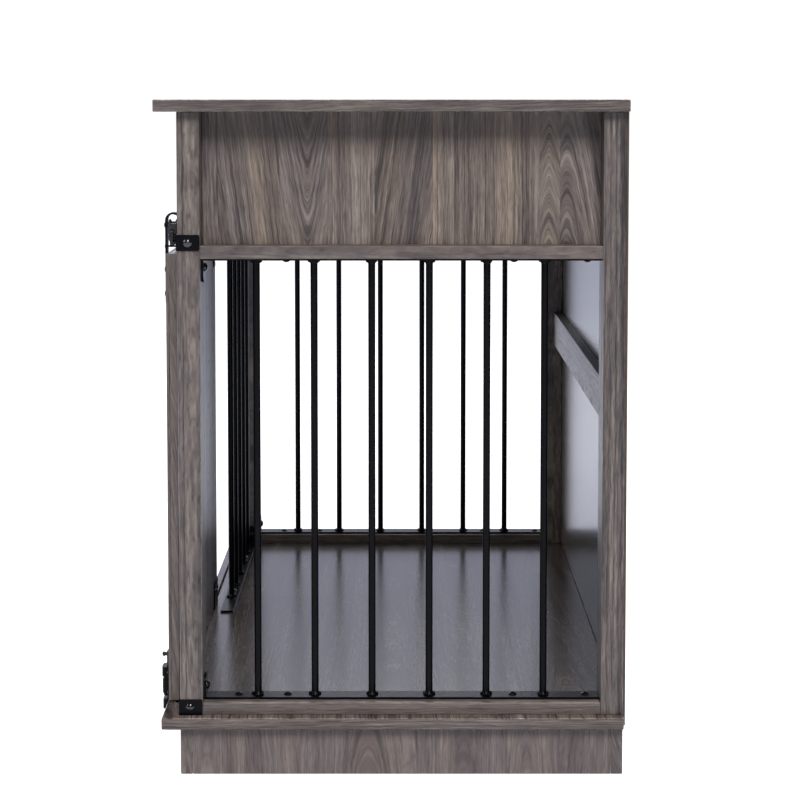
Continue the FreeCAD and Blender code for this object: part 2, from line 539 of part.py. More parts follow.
add("slide_bolt_plate", plate)
# flat bar with a round peg to lift it by
bar = box(bx - BAR_W / 2, bx + BAR_W / 2, BAR_A0, BAR_A1, BOLT_TIP, PEG_Z + 5.0)
bar = round_edges(bar, lambda e: along(e, 1), 2.2)
prof = [(0, 6.4), (1.9, 6.4), (2.7, 5.8), (2.95, 5.0), (2.95, 3.2), (2.3, 2.6), (2.3, -0.8), (0, -0.8)]
bar = bar.fuse(place(revolve(prof), (bx, BAR_A0, PEG_Z), (0, -1, 0)))
add("slide_bolt_bar", bar.removeSplitter())
# keeper on the front edge of the base board
kp = round_edges(box(bx - 15, bx + 15, BASE_FRONT - 1.5, BASE_FRONT, 62.5, 74.8), lambda e: along(e, 1), 2.0)
kb = box(bx - 9.4, bx + 9.4, -30.5, BASE_FRONT - 0.5, 62.5, 74.8)
kb = round_edges(kb, lambda e: along(e, 2) and abs(e.Vertexes[0].Y - (YF - 30.5)) < 1e-6, 4.8)
kp = kp.fuse(kb).removeSplitter()
kp = kp.cut(box(bx - BAR_W / 2 - 0.3, bx + BAR_W / 2 + 0.3, BAR_A0 - 0.3, BASE_FRONT, 60, 76))
for dx in (-12.3, 12.3):
    kp = kp.cut(cyl(1.1, (bx + dx, BASE_FRONT - 3, 68.5), (bx + dx, BASE_FRONT + 1, 68.5)))
    psc.append(place(screw(4.2, 1.3, 2.0, 11.5, rim=0.3), (bx + dx, BASE_FRONT - 1.5, 68.5), (0, -1, 0), 10))
    pilot("base_board", (bx + dx, BASE_FRONT, 68.5), (0, -1, 0), 1.05, 10.5)
add("bolt_keeper", kp)
add("bolt_plate_screws", group(psc[:4]))
add("keeper_screws", group(psc[4:]))

# ---------------------------------------------------------------- guides on the door's inner face, running in a groove of the base board
drill("base_board", box(-437, 437, -11.7, -7.7, 69, 77))
gsc = []
for n, gx0 in (("right", 330.0), ("left", -48.0)):
    gx1 = gx0 + 45
    gd = round_edges(box(gx0, gx1, DOOR_IN, DOOR_IN + 1.6, 76.8, 118), lambda e: along(e, 1) and e.Vertexes[0].Z > 100, 5.0)
    gd = gd.fuse(box(gx0, gx1, -10.5, DOOR_IN + 1.6, 76.8, 78.2)).fuse(box(gx0, gx1, -10.5, -8.9, 71, 78.2))
    for dx in (11.0, 34.0):
        gsc.append(place(screw(7.5, 2.2, 3.0, 10), (gx0 + dx, DOOR_IN + 1.6, 104), (0, 1, 0), 25))
        gd = gd.cut(cyl(1.6, (gx0 + dx, DOOR_IN - 1, 104), (gx0 + dx, DOOR_IN + 3, 104)))
        pilot("door_panel", (gx0 + dx, DOOR_IN, 104), (0, 1, 0), 1.55, 8.8)
    add("door_guide_%s" % n, gd.removeSplitter())
add("guide_screws", group(gsc))

# ---------------------------------------------------------------- back panel screws
bs = []
yb = FRAME_REAR + BACK_T
for s, n in ((1, "right"), (-1, "left")):
    for z in (103.0, 261.0, 427.0, 639.0, 790.0):
        x = s * (XI + POST_X / 2)
        bs.append(place(screw(7.0, 2.5, 3.0, 19), (x, yb, z), (0, 1, 0), 30))
        drill("back_panel", cyl(1.6, (x, FRAME_REAR - 1, z), (x, yb + 1, z)))
        pilot("rear_post_" + n, (x, FRAME_REAR, z), (0, 1, 0), 1.55, 16.5)
for x in (-300.0, -100.0, 100.0, 300.0):
    for z, nm in ((68.5, "base_board"), (454.0, "back_cross_rail"), (660.0, "mid_shelf")):
        ln = 16.0 if nm != "back_cross_rail" else 13.0
        bs.append(place(screw(7.0, 2.5, 3.0, ln), (x, yb, z), (0, 1, 0), 50))
        drill("back_panel", cyl(1.6, (x, FRAME_REAR - 1, z), (x, yb + 1, z)))
        pilot(nm, (x, FRAME_REAR, z), (0, 1, 0), 1.55, ln - 2.5)
add("back_panel_screws", group(bs))

# ---------------------------------------------------------------- apply the drillings and write the files
for name, tools in cuts.items():
    nodes[name] = nodes[name].cut(tools)

lo = [1e9] * 3
hi = [-1e9] * 3
for name in nodes:
    s = nodes[name]
    if not s.isValid():
        print("NOT VALID", name)
    if len(s.Solids) < 1:
        print("NO SOLID", name)
    b = s.BoundBox
    for i, (m, M) in enumerate(((b.XMin, b.XMax), (b.YMin, b.YMax), (b.ZMin, b.ZMax))):
        lo[i] = min(lo[i], m)
        hi[i] = max(hi[i], M)
    out = s
    if s.ShapeType == "Compound" and len(s.Solids) == 1:
        out = s.Solids[0]
    out.exportStep("parts/%s.step" % name)
print("nodes", len(nodes), "box", [round(v, 2) for v in lo], [round(v, 2) for v in hi])
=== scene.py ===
import bpy, bmesh, math, random
from mathutils import Vector, Matrix


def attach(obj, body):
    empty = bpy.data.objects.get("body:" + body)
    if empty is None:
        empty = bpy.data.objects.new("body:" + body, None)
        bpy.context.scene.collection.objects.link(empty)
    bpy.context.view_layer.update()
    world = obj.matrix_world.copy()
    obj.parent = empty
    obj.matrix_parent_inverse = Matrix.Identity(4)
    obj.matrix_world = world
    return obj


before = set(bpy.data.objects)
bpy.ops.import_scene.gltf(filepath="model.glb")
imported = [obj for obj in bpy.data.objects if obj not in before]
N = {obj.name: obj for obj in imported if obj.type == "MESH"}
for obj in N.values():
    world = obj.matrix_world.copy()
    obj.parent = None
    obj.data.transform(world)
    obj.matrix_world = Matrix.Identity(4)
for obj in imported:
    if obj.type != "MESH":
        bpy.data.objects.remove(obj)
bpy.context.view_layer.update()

scene = bpy.context.scene
YF = -0.2655          # front plane of the front posts
XE = 0.487            # outside of the posts, along the length


# ================================================================ node helpers
class Tree:
    """Short way to write shader nodes."""

    def __init__(self, nt):
        self.nt = nt

    def node(self, kind, **kw):
        n = self.nt.nodes.new(kind)
        for k, v in kw.items():
            setattr(n, k, v)
        return n

    def put(self, sock, val):
        if isinstance(val, bpy.types.NodeSocket):
            self.nt.links.new(val, sock)
        elif val is not None:
            sock.default_value = val

    def math(self, op, a, b=None, c=None, clamp=False):
        n = self.node("ShaderNodeMath", operation=op, use_clamp=clamp)
        for i, v in enumerate((a, b, c)):
            if v is not None:
                self.put(n.inputs[i], v)
        return n.outputs[0]

    def vmath(self, op, a, b=None, scale=None):
        n = self.node("ShaderNodeVectorMath", operation=op)
        self.put(n.inputs[0], a)
        if b is not None:
            self.put(n.inputs[1], b)
        if scale is not None:
            self.put(n.inputs["Scale"], scale)
        return n.outputs["Value"] if op in ("LENGTH", "DOT_PRODUCT", "DISTANCE") else n.outputs[0]

    def sep(self, v):
        n = self.node("ShaderNodeSeparateXYZ")
        self.put(n.inputs[0], v)
        return n.outputs

    def comb(self, x=0.0, y=0.0, z=0.0):
        n = self.node("ShaderNodeCombineXYZ")
        for i, v in enumerate((x, y, z)):
            self.put(n.inputs[i], v)
        return n.outputs[0]

    def noise(self, vec, scale=1.0, detail=2.0, rough=0.5, dist=0.0, dims="3D", w=None):
        n = self.node("ShaderNodeTexNoise", noise_dimensions=dims)
        if dims != "1D":
            self.put(n.inputs["Vector"], vec)
        if w is not None:
            self.put(n.inputs["W"], w)
        self.put(n.inputs["Scale"], scale)
        self.put(n.inputs["Detail"], detail)
        self.put(n.inputs["Roughness"], rough)
        self.put(n.inputs["Distortion"], dist)
        return n.outputs[0]

    def white(self, w):
        n = self.node("ShaderNodeTexWhiteNoise", noise_dimensions="1D")
        self.put(n.inputs["W"], w)
        return n.outputs[0]

    def ramp(self, fac, stops, mode="LINEAR"):
        n = self.node("ShaderNodeValToRGB")
        n.color_ramp.interpolation = mode
        el = n.color_ramp.elements
        while len(el) > 1:
            el.remove(el[-1])
        el[0].position = stops[0][0]
        el[0].color = (*stops[0][1], 1) if len(stops[0][1]) == 3 else stops[0][1]
        for p, c in stops[1:]:
            e = el.new(p)
            e.color = (*c, 1)
        self.put(n.inputs[0], fac)
        return n.outputs[0]

    def remap(self, v, a, b, c=0.0, d=1.0, clamp=True):
        n = self.node("ShaderNodeMapRange", clamp=clamp)
        self.put(n.inputs[0], v)
        for i, x in enumerate((a, b, c, d)):
            self.put(n.inputs[i + 1], x)
        return n.outputs[0]

    def mix(self, fac, a, b, mode="MIX"):
        n = self.node("ShaderNodeMix", data_type="RGBA", blend_type=mode)
        self.put(n.inputs[0], fac)
        self.put(n.inputs[6], a)
        self.put(n.inputs[7], b)
        return n.outputs[2]

    def fmix(self, fac, a, b):
        n = self.node("ShaderNodeMix", data_type="FLOAT")
        self.put(n.inputs[0], fac)
        self.put(n.inputs[2], a)
        self.put(n.inputs[3], b)
        return n.outputs[0]

    def bump(self, height, strength=0.2, dist=0.001, normal=None):
        n = self.node("ShaderNodeBump")
        self.put(n.inputs["Height"], height)
        n.inputs["Strength"].default_value = strength
        n.inputs["Distance"].default_value = dist
        if normal is not None:
            self.put(n.inputs["Normal"], normal)
        return n.outputs[0]


def lin(r, g, b):
    """sRGB 0-255 to linear."""
    out = []
    for v in (r, g, b):
        v /= 255.0
        out.append(v / 12.92 if v <= 0.04045 else ((v + 0.055) / 1.055) ** 2.4)
    return tuple(out)


def new_mat(name):
    m = bpy.data.materials.new(name)
    m.use_nodes = True
    nt = m.node_tree
    nt.nodes.clear()
    t = Tree(nt)
    out = t.node("ShaderNodeOutputMaterial")
    bsdf = t.node("ShaderNodeBsdfPrincipled")
    nt.links.new(bsdf.outputs[0], out.inputs[0])
    return m, t, bsdf


def assign(obj, mat):
    if not obj.material_slots:
        obj.data.materials.append(mat)
    for s in obj.material_slots:
        s.material = mat


# ================================================================ walnut laminate
def grain_group():
    """Colour, height and roughness of a printed walnut laminate.
    Vector.x runs across the grain, Vector.y along it, in metres. Heart is the distance from the heart line of
    the stave, Depth and Taper shape the growth rings there, Shift moves the tone of one stave."""
    g = bpy.data.node_groups.new("walnut_grain", "ShaderNodeTree")
    for nm, kind, io in (("Vector", "NodeSocketVector", "INPUT"), ("Seed", "NodeSocketFloat", "INPUT"),
                         ("Index", "NodeSocketFloat", "INPUT"), ("Heart", "NodeSocketFloat", "INPUT"),
                         ("Depth", "NodeSocketFloat", "INPUT"), ("Taper", "NodeSocketFloat", "INPUT"),
                         ("Wander", "NodeSocketFloat", "INPUT"), ("Shift", "NodeSocketFloat", "INPUT"),
                         ("Contrast", "NodeSocketFloat", "INPUT"), ("Seam", "NodeSocketFloat", "INPUT"),
                         ("Tone", "NodeSocketFloat", "INPUT"), ("Warmth", "NodeSocketFloat", "INPUT"),
                         ("Color", "NodeSocketColor", "OUTPUT"), ("Height", "NodeSocketFloat", "OUTPUT"),
                         ("Roughness", "NodeSocketFloat", "OUTPUT")):
        g.interface.new_socket(nm, in_out=io, socket_type=kind)
    t = Tree(g)
    gi = t.node("NodeGroupInput")
    go = t.node("NodeGroupOutput")
    seed, idx = gi.outputs["Seed"], gi.outputs["Index"]
    u, v, _ = t.sep(gi.outputs["Vector"])
    r1 = t.white(t.math("ADD", idx, seed))
    vv = t.math("ADD", v, t.math("ADD", t.math("MULTIPLY", r1, 7.0), seed))
    # slow wander of the grain
    wn = t.noise(t.comb(t.math("MULTIPLY", u, 11.0), t.math("MULTIPLY", vv, 3.4), seed), 1.0, 2.0, 0.5)
    wander = t.math("MULTIPLY", t.math("SUBTRACT", wn, 0.5), gi.outputs["Wander"])
    jn = t.noise(t.comb(t.math("MULTIPLY", u, 60.0), t.math("MULTIPLY", vv, 55.0), t.math("ADD", seed, 3.0)), 1.0, 1.0, 0.5)
    jitter = t.math("MULTIPLY", t.math("SUBTRACT", jn, 0.5), 0.0022)
    lw = t.math("ADD", t.math("ADD", gi.outputs["Heart"], wander), jitter)
    # growth rings of a tapering log cut flat: hyperbolas, so arcs where the cut is near the heart
    rad = t.math("SQRT", t.math("ADD", t.math("MULTIPLY", lw, lw), t.math("MULTIPLY", gi.outputs["Depth"], gi.outputs["Depth"])))
    ring = t.math("SUBTRACT", rad, t.math("MULTIPLY", vv, gi.outputs["Taper"]))
    ringi = t.math("ADD", ring, t.math("MULTIPLY", idx, 0.37))
    rn = t.noise(None, 250.0, 2.5, 0.6, dims="1D", w=ringi)
    rn2 = t.noise(None, 46.0, 1.0, 0.5, dims="1D", w=t.math("ADD", ringi, 5.0))
    late = t.noise(None, 120.0, 1.0, 0.5, dims="1D", w=t.math("ADD", ringi, 9.0))
    late = t.remap(late, 0.60, 0.72, 0.0, 1.0)
    # fibres: fine streaks that follow the rings, and short dark pores
    ln = t.noise(None, 430.0, 1.5, 0.6, dims="1D", w=t.math("ADD", ringi, 13.0))
    lm = t.noise(t.comb(t.math("MULTIPLY", ringi, 150.0), t.math("MULTIPLY", vv, 7.0), t.math("ADD", seed, 7.0)), 1.0, 1.0, 0.5)
    line = t.math("MULTIPLY", t.remap(ln, 0.56, 0.68, 0.0, 1.0), t.remap(lm, 0.40, 0.56, 0.0, 1.0))
    f1 = t.noise(t.comb(t.math("MULTIPLY", ringi, 330.0), t.math("MULTIPLY", vv, 6.0), seed), 1.0, 3.0, 0.62)
    f2 = t.noise(t.comb(t.math("MULTIPLY", ringi, 780.0), t.math("MULTIPLY", vv, 28.0), seed), 1.0, 2.0, 0.6)
    pores = t.noise(t.comb(t.math("MULTIPLY", ringi, 820.0), t.math("MULTIPLY", vv, 62.0), t.math("ADD", seed, 5.0)), 1.0, 1.0, 0.5)
    pore = t.remap(pores, 0.57, 0.67, 0.0, 1.0)
    broad = t.noise(t.comb(t.math("MULTIPLY", ringi, 34.0), t.math("MULTIPLY", vv, 1.7), t.math("ADD", seed, 2.0)), 1.0, 2.0, 0.5)
    # value 0..1 of lightness
    val = t.math("MULTIPLY", t.math("SUBTRACT", rn, 0.5), 0.36)
    val = t.math("ADD", val, t.math("MULTIPLY", t.math("SUBTRACT", rn2, 0.5), 0.52))
    val = t.math("ADD", val, t.math("MULTIPLY", t.math("SUBTRACT", f1, 0.5), 0.64))
    val = t.math("ADD", val, t.math("MULTIPLY", t.math("SUBTRACT", f2, 0.5), 0.84))
    val = t.math("ADD", val, t.math("MULTIPLY", t.math("SUBTRACT", broad, 0.5), 0.45))
    val = t.math("SUBTRACT", val, t.math("MULTIPLY", late, 0.12))
    val = t.math("SUBTRACT", val, t.math("MULTIPLY", line, 0.20))
    val = t.math("ADD", t.math("MULTIPLY", val, gi.outputs["Contrast"]), gi.outputs["Shift"])
    val = t.math("ADD", val, 0.55, clamp=True)
    col = t.ramp(val, [(0.0, lin(34, 29, 29)), (0.25, lin(66, 57, 55)), (0.5, lin(101, 92, 89)),
                       (0.75, lin(131, 121, 115)), (1.0, lin(162, 152, 143))])
    # warmer, browner clouds and faint violet ones
    warm = t.noise(t.comb(t.math("MULTIPLY", ringi, 22.0), t.math("MULTIPLY", vv, 2.2), t.math("ADD", seed, 9.0)), 1.0, 2.0, 0.5)
    wf = t.math("MULTIPLY", t.remap(warm, 0.40, 0.64, 0.0, 1.0), gi.outputs["Warmth"])
    col = t.mix(wf, col, (1.05, 0.98, 0.88, 1), "MULTIPLY")
    cf = t.math("MULTIPLY", t.remap(warm, 0.46, 0.28, 0.0, 1.0), 0.5)
    col = t.mix(cf, col, (1.0, 0.97, 1.06, 1), "MULTIPLY")
    col = t.mix(t.math("MULTIPLY", pore, t.math("MULTIPLY", gi.outputs["Contrast"], 0.42)), col, (0.45, 0.42, 0.42, 1), "MULTIPLY")
    col = t.mix(t.math("MULTIPLY", gi.outputs["Seam"], 0.30), col, (0.52, 0.49, 0.48, 1), "MULTIPLY")
    col = t.mix(1.0, col, t.comb(gi.outputs["Tone"], gi.outputs["Tone"], gi.outputs["Tone"]), "MULTIPLY")
    h = t.math("ADD", t.math("MULTIPLY", f2, 0.35), t.math("MULTIPLY", t.math("SUBTRACT", 1.0, pore), 0.65))
    h = t.math("ADD", h, t.math("MULTIPLY", f1, 0.3))
    rgh = t.math("ADD", t.math("MULTIPLY", t.math("SUBTRACT", f1, 0.5), -0.16), t.math("MULTIPLY", pore, 0.10))
    g.links.new(col, go.inputs["Color"])
    g.links.new(h, go.inputs["Height"])
    g.links.new(rgh, go.inputs["Roughness"])
    return g


GRAIN = grain_group()
AX = {"X": 0, "Y": 1, "Z": 2}


def walnut(name, grain, width, seed, tone=1.0, rough=0.42, stave=0.085, figure=1.0, warmth=0.5, edge_tone=1.0,
           contrast=1.0, coat=0.0, shift=(0, 0), staves=None, spec=0.5, lip=None, relief=0.25,
           sheen_var=1.0):
    """Walnut board material. grain and width name the board's long and wide axes; the third is its thickness.
    On the end faces the edge band's grain runs along the width. staves lists (start, heart, depth, taper, tone)
    along the width instead of equal strips."""
    m, t, bsdf = new_mat(name)
    tc = t.node("ShaderNodeTexCoord")
    P = t.sep(tc.outputs["Object"])
    Nn = t.sep(tc.outputs["Normal"])
    gi, wi = AX[grain], AX[width]
    ti = 3 - gi - wi
    end = t.math("GREATER_THAN", t.math("ABSOLUTE", Nn[gi]), 0.72)
    edge = t.math("GREATER_THAN", t.math("ABSOLUTE", Nn[wi]), 0.72)
    narrow = t.math("MAXIMUM", end, edge)
    uu = t.math("ADD", t.fmix(end, t.math("ADD", P[wi], P[ti]), t.math("ADD", P[ti], P[gi])), shift[0])
    vv = t.math("ADD", t.fmix(end, P[gi], P[wi]), shift[1])
    sd = t.math("ADD", seed * 1.0, t.math("MULTIPLY", narrow, 11.0))
    if staves:
        w = P[wi]
        idx, heart, depth, taper, sh, seam = 0.0, staves[0][1], staves[0][2], staves[0][3], staves[0][4], 0.0
        for i, st in enumerate(staves[1:], 1):
            f = t.math("GREATER_THAN", w, st[0])
            idx = t.fmix(f, idx, float(i))
            heart = t.fmix(f, heart, st[1])
            depth = t.fmix(f, depth, st[2])
            taper = t.fmix(f, taper, st[3])
            sh = t.fmix(f, sh, st[4])
            near = t.math("COMPARE", w, st[0], 0.0007)
            seam = t.math("MAXIMUM", seam, near)
        heart = t.math("SUBTRACT", w, heart)
    else:
        us = t.math("DIVIDE", uu, stave)
        wob = t.math("MULTIPLY", t.noise(None, 2.2, 1.0, dims="1D", w=t.math("ADD", vv, sd)), 0.03)
        us = t.math("ADD", t.math("ADD", us, wob), t.math("MULTIPLY", sd, 3.17))
        idx = t.math("FLOOR", us)
        fr = t.math("SUBTRACT", us, idx)
        r1 = t.white(t.math("ADD", idx, t.math("ADD", sd, 17.9)))
        r2 = t.white(t.math("ADD", idx, t.math("ADD", sd, 41.3)))
        r3 = t.white(t.math("ADD", idx, t.math("ADD", sd, 87.7)))
        heart = t.math("MULTIPLY", t.math("SUBTRACT", fr, t.fmix(r2, -0.25, 1.25)), stave)
        depth = t.fmix(r3, 0.008, 0.050)
        taper = t.math("MULTIPLY", t.math("POWER", t.math("SUBTRACT", r1, 0.5), 3.0), 1.1 * figure)
        sh = t.math("MULTIPLY", t.math("SUBTRACT", r2, 0.5), 0.22 * min(figure, 1.0))
        e = t.math("MINIMUM", fr, t.math("SUBTRACT", 1.0, fr))
        seam = t.remap(t.math("MULTIPLY", e, stave), 0.0, 0.0008, 1.0, 0.0)
    grp = t.node("ShaderNodeGroup")
    grp.node_tree = GRAIN
    t.put(grp.inputs["Vector"], t.comb(uu, vv, 0.0))
    t.put(grp.inputs["Seed"], sd)
    t.put(grp.inputs["Index"], idx)
    t.put(grp.inputs["Heart"], heart)
    t.put(grp.inputs["Depth"], depth)
    t.put(grp.inputs["Taper"], taper)
    grp.inputs["Wander"].default_value = 0.004 + 0.012 * figure
    t.put(grp.inputs["Shift"], sh)
    grp.inputs["Contrast"].default_value = contrast
    t.put(grp.inputs["Seam"], seam)
    grp.inputs["Warmth"].default_value = warmth
    broad_tone = tone
    if lip:
        # painted shade: inside the posts the floor keeps the low tone, painted darker as the kennel's shade; the strip
        # outside the posts takes the lighter lip tone
        broad_tone = t.fmix(t.math("MAXIMUM", t.math("GREATER_THAN", t.math("ABSOLUTE", P[0]), 0.456),
                                   t.math("LESS_THAN", P[1], YF + 0.001)), tone, lip)
        # painted shade: the inside of the narrow guide groove is painted nearly black, as the shade in the groove
        groove_shade = t.math("MULTIPLY", t.math("COMPARE", P[1], YF - 0.0097, 0.0021), t.math("LESS_THAN", P[2], 0.0758))
        groove_shade = t.math("MULTIPLY", groove_shade, t.math("LESS_THAN", t.math("ABSOLUTE", P[0]), 0.4372))
        broad_tone = t.fmix(groove_shade, broad_tone, 0.08)
        edge_tone = t.fmix(groove_shade, edge_tone, 0.2)
    # painted highlight: chamfer faces, whose normals lie between the axes, are painted 1.55 times lighter, as light
    # catching the board edges
    top = t.math("MAXIMUM", t.math("MAXIMUM", t.math("ABSOLUTE", Nn[0]), t.math("ABSOLUTE", Nn[1])), t.math("ABSOLUTE", Nn[2]))
    chamfer_highlight = t.math("LESS_THAN", top, 0.9)
    t.put(grp.inputs["Tone"], t.fmix(chamfer_highlight, t.fmix(narrow, broad_tone, t.math("MULTIPLY", edge_tone, tone)), t.math("MULTIPLY", edge_tone, tone * 1.55)))
    t.put(bsdf.inputs["Base Color"], grp.outputs["Color"])
    t.put(bsdf.inputs["Roughness"], t.math("ADD", t.math("MULTIPLY", grp.outputs["Roughness"], sheen_var), rough))
    bsdf.inputs["Specular IOR Level"].default_value = spec
    t.put(bsdf.inputs["Normal"], t.bump(grp.outputs["Height"], relief, 0.00025))
    if coat:
        bsdf.inputs["Coat Weight"].default_value = coat
        bsdf.inputs["Coat Roughness"].default_value = 0.2
    return m


# staves of the end panels: start along Y from the front posts' plane, heart line, depth, taper, tone
PANEL_STAVES = [(YF + st[0], YF + st[1], st[2], st[3], st[4]) for st in (
    (0.028, 0.075, 0.030, 0.02, -0.16), (0.048, 0.020, 0.020, -0.12, -0.03), (0.125, 0.160, 0.006, 0.17, -0.05),
    (0.186, 0.330, 0.050, 0.01, 0.08), (0.245, 0.330, 0.010, -0.14, -0.13), (0.318, 0.100, 0.060, 0.00, 0.13),
    (0.345, 0.500, 0.060, 0.005, -0.06), (0.364, 0.240, 0.060, 0.00, 0.10), (0.452, 0.464, 0.003, -0.32, 0.10),
    (0.478, 0.486, 0.012, -0.16, -0.10))]
W = {}
W["top_board"] = walnut("walnut_top", "X", "Y", 3.0, stave=0.12, figure=0.7, contrast=1.25)
# painted shade: the floor's top inside the posts is painted at half tone as the shade inside the kennel; lip=1.0 keeps
# the strip outside the posts at full tone, and edge_tone=2.3 lifts its edges back to a little over full tone
W["base_board"] = walnut("walnut_floor", "X", "Y", 8.0, tone=0.50, rough=0.21, stave=0.10, figure=0.4, edge_tone=2.3, contrast=1.1, spec=0.25, lip=1.0, relief=0.006, sheen_var=0.12)
W["plinth_front"] = walnut("walnut_plinth_front", "Z", "X", 12.0, stave=0.11)
W["plinth_rear"] = walnut("walnut_plinth_rear", "Z", "X", 13.0, stave=0.11)
# painted light: the near end plinth is painted 1.3 times lighter than the far one, standing in for the light the pale
# floor would bounce onto it
W["plinth_right"] = walnut("walnut_plinth_right", "Z", "Y", 14.0, tone=1.30, stave=0.066, figure=0.8, contrast=0.8)
W["plinth_left"] = walnut("walnut_plinth_left", "Z", "Y", 15.0, stave=0.066, figure=0.8, contrast=0.8)
for i, nm in enumerate(("front_post_right", "front_post_left", "rear_post_right", "rear_post_left")):
    W[nm] = walnut("walnut_" + nm, "Z", "X", 20.0 + i * 1.7, stave=0.09, figure=0.25, warmth=0.2, tone=0.80 if "front" in nm else 0.88, rough=0.40, contrast=1.5)
W["end_panel_right"] = walnut("walnut_panel_right", "Z", "Y", 31.0, tone=1.08, staves=PANEL_STAVES, figure=0.45, warmth=1.0, contrast=1.3)
W["end_panel_left"] = walnut("walnut_panel_left", "Z", "Y", 33.0, tone=1.08, staves=PANEL_STAVES, figure=0.45, warmth=1.0, contrast=1.3)
for i, nm in enumerate(("end_mid_rail_right", "end_mid_rail_left", "end_bottom_rail_right", "end_bottom_rail_left")):
    W[nm] = walnut("walnut_" + nm, "Y", "X", 40.0 + i * 2.3, stave=0.07, figure=0.5, contrast=0.9)
W["front_upper_rail"] = walnut("walnut_upper_rail", "X", "Z", 52.0, stave=0.07, figure=0.5)
W["mid_shelf"] = walnut("walnut_shelf", "X", "Y", 54.0, tone=0.95, rough=0.36, stave=0.11, figure=0.7)
W["cubby_divider"] = walnut("walnut_divider", "Z", "Y", 56.0, stave=0.10)
W["back_cross_rail"] = walnut("walnut_cross_rail", "X", "Z", 58.0, stave=0.08, figure=0.5, warmth=0.3)
W["door_panel"] = walnut("walnut_door_panel", "Z", "X", 61.0, tone=0.95, rough=0.34, stave=0.0608, figure=0.8, shift=(-0.0102, 0))
W["door_stile_right"] = walnut("walnut_stile_right", "Z", "X", 63.0, tone=0.86, stave=0.08, figure=0.3)
W["door_stile_left"] = walnut("walnut_stile_left", "Z", "X", 64.0, stave=0.08, figure=0.3)
W["door_top_rail"] = walnut("walnut_door_top_rail", "X", "Z", 65.0, stave=0.08, figure=0.3)
W["door_bottom_rail"] = walnut("walnut_door_bottom_rail", "X", "Z", 66.0, stave=0.08, figure=0.3)
W["door_brace"] = walnut("walnut_door_brace", "Z", "X", 67.0, stave=0.08, figure=0.3)
for nm, m in W.items():
    assign(N[nm], m)


# ================================================================ hardboard back
def hardboard():
    """Laminated on the inner face, smooth brown board on the back and on the raw edge."""
    m, t, bsdf = new_mat("hardboard_back")
    tc = t.node("ShaderNodeTexCoord")
    P = t.sep(tc.outputs["Object"])
    Nn = t.sep(tc.outputs["Normal"])
    inner = t.math("LESS_THAN", Nn[1], -0.5)
    grp = t.node("ShaderNodeGroup")
    grp.node_tree = GRAIN
    t.put(grp.inputs["Vector"], t.comb(P[2], P[0], 0.0))
    us = t.math("DIVIDE", P[2], 0.13)
    idx = t.math("FLOOR", us)
    t.put(grp.inputs["Index"], idx)
    t.put(grp.inputs["Heart"], t.math("MULTIPLY", t.math("SUBTRACT", t.math("SUBTRACT", us, idx), 0.4), 0.13))
    for k, v in (("Seed", 71.0), ("Depth", 0.03), ("Taper", 0.02), ("Wander", 0.012), ("Warmth", 0.4), ("Tone", 0.60), ("Contrast", 0.8)):
        grp.inputs[k].default_value = v
    fib = t.noise(tc.outputs["Object"], 900.0, 3.0, 0.7)
    blot = t.noise(tc.outputs["Object"], 9.0, 3.0, 0.55)
    raw = t.ramp(t.math("ADD", t.math("MULTIPLY", fib, 0.5), t.math("MULTIPLY", blot, 0.5)),
                 [(0.3, lin(62, 48, 40)), (0.5, lin(82, 64, 53)), (0.72, lin(104, 82, 68))])
    col = t.mix(inner, raw, grp.outputs["Color"])
    t.put(bsdf.inputs["Base Color"], col)
    t.put(bsdf.inputs["Roughness"], t.fmix(inner, t.math("ADD", t.math("MULTIPLY", blot, 0.12), 0.46), 0.24))
    t.put(bsdf.inputs["Normal"], t.bump(t.fmix(inner, fib, grp.outputs["Height"]), 0.08, 0.0002))
    return m


assign(N["back_panel"], hardboard())


def dowel_wood():
    m, t, bsdf = new_mat("beech_dowel")
    tc = t.node("ShaderNodeTexCoord")
    n = t.noise(tc.outputs["Object"], 500.0, 3.0, 0.6)
    t.put(bsdf.inputs["Base Color"], t.ramp(n, [(0.3, lin(168, 132, 92)), (0.7, lin(204, 172, 130))]))
    t.put(bsdf.inputs["Roughness"], t.remap(n, 0.2, 0.8, 0.5, 0.7))
    return m


assign(N["dowels"], dowel_wood())


# ================================================================ black metal
def black_metal(name, base=(26, 25, 28), rough=0.36, grain=0.12, orange=900.0, worn=0.0, metallic=0.0, spec=0.5):
    """Black powder coat or oxide: fine orange-peel texture, slight dust and rubbed spots."""
    m, t, bsdf = new_mat(name)
    tc = t.node("ShaderNodeTexCoord")
    fine = t.noise(tc.outputs["Object"], orange, 2.0, 0.6)
    big = t.noise(tc.outputs["Object"], 24.0, 3.0, 0.6)
    scuff = t.noise(tc.outputs["Object"], 130.0, 4.0, 0.7)
    a = lin(*base)
    col = t.ramp(big, [(0.3, tuple(c * 0.82 for c in a)), (0.7, tuple(c * 1.22 for c in a))])
    if worn:
        col = t.mix(t.math("MULTIPLY", t.remap(scuff, 0.60, 0.74, 0.0, 1.0), worn), col, (*lin(112, 110, 112), 1))
    t.put(bsdf.inputs["Base Color"], col)
    t.put(bsdf.inputs["Roughness"], t.math("ADD", t.math("MULTIPLY", t.math("SUBTRACT", scuff, 0.5), 0.22), rough))
    bsdf.inputs["Metallic"].default_value = metallic
    bsdf.inputs["Specular IOR Level"].default_value = spec
    t.put(bsdf.inputs["Normal"], t.bump(fine, grain, 0.0003))
    return m


